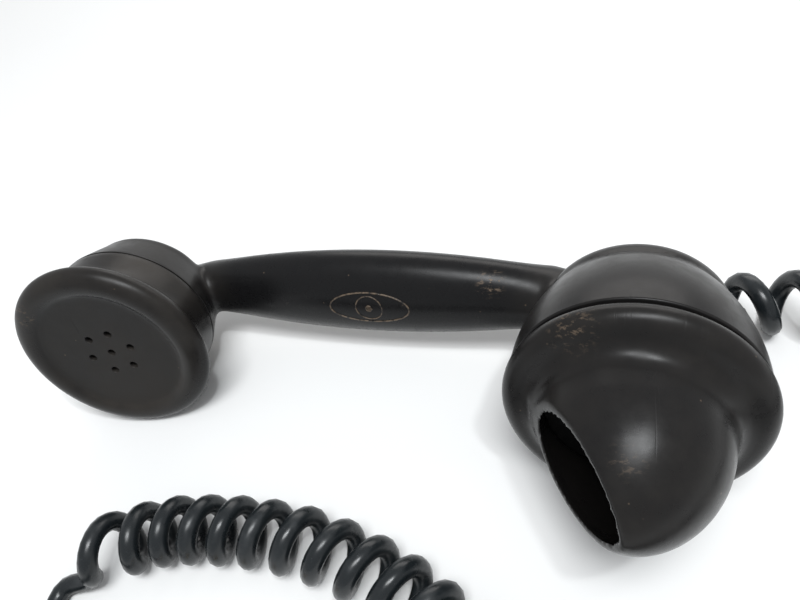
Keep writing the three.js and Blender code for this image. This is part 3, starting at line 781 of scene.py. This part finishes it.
def soften_joint(piece, trees, width, rounds):
    """Smooth the moulding where the grip's surface and a cup's run into each other."""
    group = piece.vertex_groups.new(name="joint")
    grip, *cups = trees
    for vertex in piece.data.vertices:
        to_grip = grip.find_nearest(vertex.co)[3]
        to_cup = min(cup.find_nearest(vertex.co)[3] for cup in cups)
        weight = ease(1 - max(to_grip, to_cup) / width)
        if weight > 0:
            group.add([vertex.index], weight, "REPLACE")
    apply(piece, "SMOOTH", factor=0.6, iterations=rounds, vertex_group="joint")


def cup_tool(seam, skirt, spigot, spigot_top, bore, floor):
    """What is cut away in front of a cup: all but a threaded spigot round a bore."""
    outside = skirt + 8
    edge = 0.5
    return turned("cup_tool", [
        (outside, spigot_top + 8), (outside, seam - edge), (skirt + 0.1, seam - edge),
        *arc(skirt - edge, seam - edge, edge, edge, 0, 90, 4),
        (spigot, seam), (spigot, spigot_top - edge), (spigot - edge, spigot_top),
        (bore, spigot_top), (bore, floor), (bore * 0.5, floor),
    ], 128)


class HANDSET_OT_handle(bpy.types.Operator):
    """Mould the handle and both cups in one, with their spigots and threads"""

    bl_idname = "handset.handle"
    bl_label = "Handle moulding"

    def execute(self, context):
        sizes = context.scene.handset_sizes
        colours = context.scene.handset_colours
        to_handset = handset_place.inverted()
        stations = [-7.6, -7, -6, -4.5, -2.5, 0, *range(2, 156, 2), 157, 158.5, 160, 161, 161.6]  # in mm
        grip = drawn_out("moulded_handle", [grip_section(x) for x in stations])
        ear_cup = turned("ear_cup_body", [
            (0.4, EAR_SPIGOT_TOP + 3), (EAR_SKIRT, EAR_SPIGOT_TOP + 3), (EAR_SKIRT, EAR_SEAM + 2),
            *smooth([(EAR_SKIRT, EAR_SEAM), (25.6, -26.5), (23.75, -33.0)], 6),
            *arc(19.6, -33.7, 4, 4, 0, -86, 8),
            *smooth([(15, -38.4), (8, -39.1), (0.4, -39.3)], 3),
        ], 128)
        settle(ear_cup, to_handset @ ear_place)
        mouth_cup = turned("mouth_cup_body", [
            (0.4, MOUTH_SPIGOT_TOP + 3), (MOUTH_SKIRT, MOUTH_SPIGOT_TOP + 3),
            *smooth([(MOUTH_SKIRT, 2), (MOUTH_SKIRT, -5), (30.3, -11), (29.0, -17.5), (27.1, -23.5),
                     (25.2, -27.6)], 5),
            *arc(MOUTH_BACK_RADIUS - MOUTH_EDGE, MOUTH_EDGE_START, MOUTH_EDGE, MOUTH_EDGE, 6, -84, 10),
            *smooth([(14, -36.9), (7, -37.4), (0.4, -37.5)], 3),
        ], 128)
        settle(mouth_cup, to_handset @ mouth_place)
        trees = [surface_tree(piece) for piece in (grip, ear_cup, mouth_cup)]
        body = join(grip, ear_cup, mouth_cup)
        apply(body, "REMESH", mode="VOXEL", voxel_size=sizes.handle_grain, adaptivity=0)
        soften_joint(body, trees, sizes.fillet, 45)
        apply(body, "SMOOTH", factor=0.5, iterations=3)

        tools = [
            settle(cup_tool(EAR_SEAM, EAR_SKIRT, EAR_SPIGOT, EAR_SPIGOT_TOP, EAR_BORE, EAR_FLOOR),
                   to_handset @ ear_place),
            settle(cup_tool(0.0, MOUTH_SKIRT, MOUTH_SPIGOT, MOUTH_SPIGOT_TOP, MOUTH_BORE, MOUTH_FLOOR),
                   to_handset @ mouth_place),
        ]
        carve(body, join(*tools))
        hole_radius = GLAND_WAIST + CLEARANCE
        gland_hole = turned("gland_hole", [(hole_radius, -4), (hole_radius, 20)], 48)
        settle(gland_hole, to_handset @ gland_place)
        carve(body, gland_hole)
        settle(body, handset_place)
        ridges = [
            settle(thread("ear_thread", EAR_SPIGOT, EAR_SEAM + 1.6, 3.6), ear_place),
            settle(thread("mouth_thread", MOUTH_SPIGOT, 0.9, 1.0), mouth_place),
        ]
        body = join(body, *ridges)
        smooth_shading(body, 40)
        neck_scuff = handset_place @ (Vector((120.0, 34.3, 9.1)) * MM)
        # the patina with its painted sheen stays strong round both cups and fades on the grip
        patina_sheen_places = [
            (ear_place @ Vector((0, 0, -0.028)), 0.046), (mouth_place @ Vector((0, 0, -0.018)), 0.052),
        ]
        material = bakelite("bakelite_handle", 0.24, 0.45, colours, [(neck_scuff, 0.006, 0.8)],
                            patina_sheen_places=patina_sheen_places)
        finish_piece(body, material, "handset", ("handle_moulding",))
        return {"FINISHED"}


class HANDSET_OT_medallion(bpy.types.Operator):
    """Raise the oval border and its plain rosette on the front of the grip"""

    bl_idname = "handset.medallion"
    bl_label = "Grip medallion"

    def execute(self, context):
        middle_x, middle_z = 80.7, 0.4      # in mm, from the ear cup's axis
        pieces = []

        def hoop(name, half_length, half_height, thickness):
            bpy.ops.mesh.primitive_torus_add(
                major_segments=96, minor_segments=8, major_radius=1.0, minor_radius=thickness,
                location=(0, 0, 0), rotation=(math.pi / 2, 0, 0))
            made = context.object
            made.name = name
            settle(made)
            for vertex in made.data.vertices:
                flat = Vector((vertex.co.x, 0, vertex.co.z))
                ring = flat.normalized()
                out = flat.length - 1
                vertex.co.x = ring.x * (half_length + out)
                vertex.co.z = ring.z * (half_height + out)
            pieces.append(made)

        hoop("grip_medallion", 13.6, 5.7, 0.26)
        hoop("emblem_hoop", 4.5, 4.5, 0.2)
        hoop("emblem_eye", 1.0, 1.0, 0.2)
        for i in range(6):
            angle = TURN * i / 6 + 0.3
            bpy.ops.mesh.primitive_uv_sphere_add(segments=20, ring_count=10, radius=1, location=(0, 0, 0))
            petal = context.object
            petal.name = f"emblem_petal_{i}"
            petal.scale = (1.35, 0.22, 0.62)
            settle(petal)
            petal.location = (2.75, 0, 0)
            settle(petal, Matrix.Rotation(angle, 4, "Y"))
            pieces.append(petal)
        emblem = join(*pieces)
        for vertex in emblem.data.vertices:
            x = vertex.co.x + middle_x
            z = vertex.co.z + middle_z
            _, back, depth, width = grip_section(x)
            front = back - depth * math.sqrt(max(0.05, 1 - (z / width) ** 2))
            vertex.co = Vector((x, front + vertex.co.y - 0.02, z)) * MM
        settle(emblem, handset_place)
        smooth_shading(emblem, 60)
        finish = Finish("worn_relief", gloss=0.35)
        rubbed = finish.noise(700.0, detail=4.0, roughness=0.7)
        colours = context.scene.handset_colours
        dim = tuple(0.6 * part for part in colours.scuff)
        tone = finish.mixed(finish.span(rubbed, 0.36, 0.6), tuple(colours.bakelite), dim)
        roughness = finish.span(rubbed, 0.3, 0.7, 0.3, 0.5)
        material = finish.done(tone, roughness, finish.relief(rubbed, 0.2, 0.00008))
        finish_piece(emblem, material, "handset")
        return {"FINISHED"}


# ---- the two screw caps
def ear_hole_places():
    """One hole in the middle of the ear cap and six on a circle round it."""
    angles = [math.radians(14 + 60 * i) for i in range(6)]
    return [(0, 0), *((HOLE_CIRCLE * math.cos(angle), HOLE_CIRCLE * math.sin(angle)) for angle in angles)]


class HANDSET_OT_ear_cap(bpy.types.Operator):
    """Turn the ear cap with its rolled rim, drill its seven holes and cut its thread"""

    bl_idname = "handset.ear_cap"
    bl_label = "Ear cap"

    def execute(self, context):
        bore = EAR_SPIGOT + CAP_SPACE
        seat = EAR_SPIGOT_TOP + 2.1
        face_back = -4.8
        cap = turned("ear_cap_shell", [
            (0.4, -1.6),
            *smooth([(6, -1.55), (12, -1.4), (18, -1.15), (21.8, -0.9), (23.4, -0.55)], 3),
            *arc(EAR_RIM, -3.4, 5, 4, 128, -78, 26),
            *smooth([(27.95, -7.6), (27.75, -8.8), (27.45, -10.6),
                     (EAR_SKIRT, -13), (EAR_SKIRT, -19.5)], 4),
            (EAR_SKIRT - 0.2, -19.9), (EAR_SKIRT - 0.5, EAR_SEAM + CLEARANCE),
            (bore + 0.4, EAR_SEAM + CLEARANCE), (bore, EAR_SEAM + 0.7), (bore, seat),
            (EAR_BORE - 0.2, seat), (EAR_BORE - 0.2, face_back), (0.4, face_back),
        ], 128)
        drills = []
        for i, (x, y) in enumerate(ear_hole_places()):
            lip = HOLE_RADIUS + HOLE_LIP
            drill = turned(f"drill_{i}", [
                (lip, 0.6), (lip, -1.25), *arc(lip, -1.95, -HOLE_LIP, HOLE_LIP, 90, 0, 4),
                (HOLE_RADIUS, -8),
            ], 24)
            drills.append(settle(drill, Matrix.Translation(Vector((x, y, 0)) * MM)))
        carve(cap, join(*drills))
        ridge = thread("ear_cap_thread", bore - 0.05, EAR_SEAM + 1.4, 3.4, math.pi)
        cap = settle(join(cap, ridge), ear_place)
        smooth_shading(cap, 40)

        # a strong patina amount, partly painted sheen that lightens the face and the top of the rim
        material = bakelite("bakelite_ear_cap", 0.2, 0.9, context.scene.handset_colours,
                            [(ear_place @ Vector((-0.022, 0.018, 0)), 0.006, 0.35)],
                            satin=(ear_place @ Vector((0, 0, -0.0015)), 0.0262))
        finish_piece(cap, material, "ear_cap", ("ear_cap",))
        return {"FINISHED"}


def block(name, side, low):
    """A cube that stands on a height."""
    deselect()
    bpy.ops.mesh.primitive_cube_add(size=side, location=(0, 0, low + side / 2))
    bpy.context.object.name = name
    return bpy.context.object


def dome(radius, top):
    """The hood's outline from its tip to its neck, a little more pointed than an ellipse."""
    points = []
    count = 30
    for i in range(count + 1):
        rise = math.cos(math.pi / 2 * i / count)
        out = radius * max(0.0, 1 - rise ** 2) ** 0.63
        points.append((max(out, 0.4), HOOD_BASE + (top - HOOD_BASE) * rise))
    return points


class HANDSET_OT_mouth_cap(bpy.types.Operator):
    """Mould the mouth cap with its bead and the hood that opens towards the ear"""

    bl_idname = "handset.mouth_cap"
    bl_label = "Mouth cap"

    def execute(self, context):
        sizes = context.scene.handset_sizes
        seat = MOUTH_SPIGOT_TOP + 2.2
        bore = MOUTH_SPIGOT + CAP_SPACE
        inner = HOOD_RADIUS - HOOD_WALL
        cap = turned("mouth_cap_hood", [
            *dome(HOOD_RADIUS, HOOD_TOP)[:-4],
            *smooth([(21.95, 13.4), (22.15, 11.9), (22.75, 10.3), (23.8, 9.0), (25.2, 8.0)], 4),
            *arc(BEAD_CIRCLE, 3.6, 5.1, 4, 86, -56, 22),
            (28.8, CLEARANCE), (bore, CLEARANCE), (bore, seat), (inner, seat),
            *dome(inner, HOOD_TOP - HOOD_WALL)[::-1],
        ], 128)
        knife = block("hood_knife", 0.09, 0.0)
        settle(knife, Matrix.Translation(Vector((-HOOD_RADIUS + 1.7, 0, HOOD_BASE + 2.5)) * MM)
               @ Matrix.Rotation(-HOOD_SLOPE, 4, "Y"))
        carve(knife, block("below_hood", 0.16, NECK_TOP * MM - 0.16))
        carve(cap, knife)
        apply(cap, "REMESH", mode="VOXEL", voxel_size=sizes.hood_grain, adaptivity=0)
        apply(cap, "SMOOTH", factor=0.5, iterations=12)
        ridge = thread("mouth_cap_thread", bore - 0.05, 1.3, 1.2, math.pi)
        cap = settle(join(cap, ridge), mouth_place)
        smooth_shading(cap, 50)
        scuffs = [
            (mouth_place @ (Vector((-14.0, 25.5, 5.5)) * MM), 0.008, 0.4),
            (mouth_place @ (Vector((-1.0, 14.0, 31.0)) * MM), 0.005, 0.25),
        ]
        # patina amount, partly painted sheen on the faces of the hood that turn up
        material = bakelite("bakelite_mouth_cap", 0.22, 0.4, context.scene.handset_colours, scuffs)
        finish_piece(cap, material, "mouth_cap", ("mouth_cap",))
        return {"FINISHED"}


# ---- the gland and the cord's far end
def ribbed(start, stop, start_radius, stop_radius, count, depth):
    """Rings of a taper with grooves round it."""
    rings = []
    for i in range(count * 6 + 1):
        share = i / (count * 6)
        radius = start_radius + (stop_radius - start_radius) * share
        groove = depth * max(0.0, math.sin(TURN * share * count)) ** 0.7
        rings.append((radius - groove, start + (stop - start) * share))
    return rings


class HANDSET_OT_gland(bpy.types.Operator):
    """Make the ribbed rubber gland that the cord leaves the mouth cup through"""

    bl_idname = "handset.gland"
    bl_label = "Cord gland"

    def execute(self, context):
        gland = turned("ribbed_gland", [
            (3.1, -1.0), (GLAND_WAIST, -1.0), (GLAND_WAIST, GLAND_SHOULDER), (6.0, GLAND_SHOULDER),
            *arc(6.0, GLAND_SHOULDER + 0.8, 0.5, 0.8, -90, 90, 8),
            *ribbed(GLAND_SHOULDER + 2.0, GLAND_OUTER - 0.5, 5.6, 4.5, 4, 0.7),
            (4.3, GLAND_OUTER - 0.15), (4.0, GLAND_OUTER), (3.05, GLAND_OUTER),
            (3.05, GLAND_OUTER - 7), (0.4, GLAND_OUTER - 7),
        ], 48)
        settle(gland, gland_place)
        smooth_shading(gland, 40)
        finish_piece(gland, soft_rubber("rubber_black"), "handset", ("cord_gland",))
        return {"FINISHED"}


class HANDSET_OT_cord_end(bpy.types.Operator):
    """Finish the cord's far end with a boot, three leads and their spade terminals"""

    bl_idname = "handset.cord_end"
    bl_label = "Cord end"

    def execute(self, context):
        colours = context.scene.handset_colours
        brass = metal("brass_terminals", tuple(colours.brass), (0.3, 0.19, 0.08), 0.28)
        boot = turned("ribbed_boot", [
            (3.0, 0.1),
            *ribbed(0.4, 8.0, 3.4, 4.0, 4, 0.5),
            (4.1, 9.0), (4.1, BOOT_LENGTH - 0.5), (3.7, BOOT_LENGTH), (0.4, BOOT_LENGTH),
        ], 48)
        settle(boot, far_place)
        smooth_shading(boot, 40)
        finish_piece(boot, soft_rubber("rubber_boot"), "handset", ("cord_end_boot",))
        on_cord = [boot]
        for colour, side in LEADS:
            end = Vector((side * LEAD_SPREAD, LEAD_HEIGHT, LEAD_REACH)) * MM
            points = [
                (side * 2, 0, BOOT_LENGTH - 1.5), (side * 2, 0, BOOT_LENGTH + 0.3),
                (side * 4, -0.8, BOOT_LENGTH + 5), (side * 8.5, LEAD_HEIGHT, BOOT_LENGTH + 14),
            ]
            route = [far_place @ (Vector(point) * MM) for point in points] + [far_place @ end]
            lead = round_wire(f"lead_{colour}", smooth(route, 10), 0.0007, 3)
            finish_piece(lead, jacket(f"insulation_{colour}", WIRES[colour], 0.45),
                         "handset", (f"far_lead_{colour}",))
            barrel = turned(f"crimp_{colour}", [
                (0.75, -4.6), (0.95, -4.6), (1.0, -4.2), (0.86, -3.4), (0.86, -2.2), (1.0, -1.4),
                (1.0, 0.6), (0.9, 1.0), (0.4, 1.2),
            ], 24)
            barrel.scale = (1.35, 0.85, 1)
            settle(barrel)
            settle(barrel, far_place @ Matrix.Translation(end))
            smooth_shading(barrel, 50)
            finish_piece(barrel, brass, "handset")
            terminal = frame["nodes"][f"spade_terminal_{colour}"]
            terminal.data.materials.clear()
            terminal.data.materials.append(brass)
            soften_edges(terminal, 0.00018)
            on_cord += [lead, barrel, terminal]
        return {"FINISHED"}


# ---- the pieces inside, kept from the frame
class HANDSET_OT_insides(bpy.types.Operator):
    """Finish the receiver, the carbon capsule, the contacts and the wires inside the handset"""

    bl_idname = "handset.insides"
    bl_label = "Inner pieces"

    def execute(self, context):
        colours = context.scene.handset_colours
        finishes = {
            "fibre": matt("vulcanised_fibre", (0.12, 0.055, 0.025), (0.2, 0.1, 0.05), 900.0, 0.6),
            "iron": metal("soft_iron", (0.30, 0.30, 0.31), (0.13, 0.1, 0.08), 0.35, 0.1),
            "aluminium": metal("pressed_aluminium", (0.72, 0.72, 0.73), (0.5, 0.5, 0.5), 0.3, 0.12),
            "black_lacquer": matt("black_lacquer", (0.008, 0.008, 0.008), (0.02, 0.019, 0.018), 700.0, 0.4),
            "magnet": metal("magnet_steel", (0.11, 0.12, 0.13), (0.06, 0.05, 0.05), 0.4, 0.05),
            "copper": wound_wire("enamelled_copper", (0.5, 0.2, 0.08), (0.12, 0.04, 0.015)),
            "carbon": matt("carbon", (0.012, 0.012, 0.012), (0.05, 0.05, 0.05), 2400.0, 0.5),
            "oiled_silk": matt("oiled_silk", (0.34, 0.24, 0.08), (0.45, 0.34, 0.14), 1600.0, 0.35),
            "brass": metal("brass_inside", tuple(colours.brass), (0.28, 0.17, 0.07), 0.3, 0.05),
            "cord_black": jacket("cord_jacket_inside", tuple(colours.cord)),
        }
        for colour, paint in WIRES.items():
            finishes[f"wire_{colour}"] = jacket(f"wire_{colour}_inside", paint, 0.5)
        slots = {part["node"]: part["material_slot"] for part in frame["record"]["subparts"]}
        for name, node in frame["nodes"].items():
            if node.hide_render or name.startswith("spade_terminal"):
                continue
            node.data.materials.clear()
            node.data.materials.append(finishes[slots[name]])
        return {"FINISHED"}


# ---- panel and registration
PIECES = (
    HANDSET_OT_camera, HANDSET_OT_cord, HANDSET_OT_stage, HANDSET_OT_handle, HANDSET_OT_medallion,
    HANDSET_OT_ear_cap, HANDSET_OT_mouth_cap, HANDSET_OT_gland, HANDSET_OT_cord_end, HANDSET_OT_insides,
)


class HANDSET_PT_panel(bpy.types.Panel):
    """The handset's pieces, in the order in which they are made"""

    bl_idname = "HANDSET_PT_panel"
    bl_label = "Handset"
    bl_space_type = "VIEW_3D"
    bl_region_type = "UI"
    bl_category = "Handset"

    def draw(self, context):
        for group in (context.scene.handset_sizes, context.scene.handset_colours):
            for name in group.__annotations__:
                self.layout.prop(group, name)
        for piece in PIECES:
            self.layout.operator(piece.bl_idname)


CLASSES = (HandsetSizes, HandsetColours, *PIECES, HANDSET_PT_panel)


def register():
    for cls in CLASSES:
        bpy.utils.register_class(cls)
    bpy.types.Scene.handset_sizes = bpy.props.PointerProperty(type=HandsetSizes)
    bpy.types.Scene.handset_colours = bpy.props.PointerProperty(type=HandsetColours)


def unregister():
    del bpy.types.Scene.handset_sizes
    del bpy.types.Scene.handset_colours
    for cls in reversed(CLASSES):
        bpy.utils.unregister_class(cls)


def main():
    register()
    bpy.ops.handset.camera()
    bpy.ops.handset.cord()
    bpy.ops.handset.stage()
    bpy.ops.handset.handle()
    bpy.ops.handset.medallion()
    bpy.ops.handset.ear_cap()
    bpy.ops.handset.mouth_cap()
    bpy.ops.handset.gland()
    bpy.ops.handset.cord_end()
    bpy.ops.handset.insides()


if __name__ == "__main__":
    main()
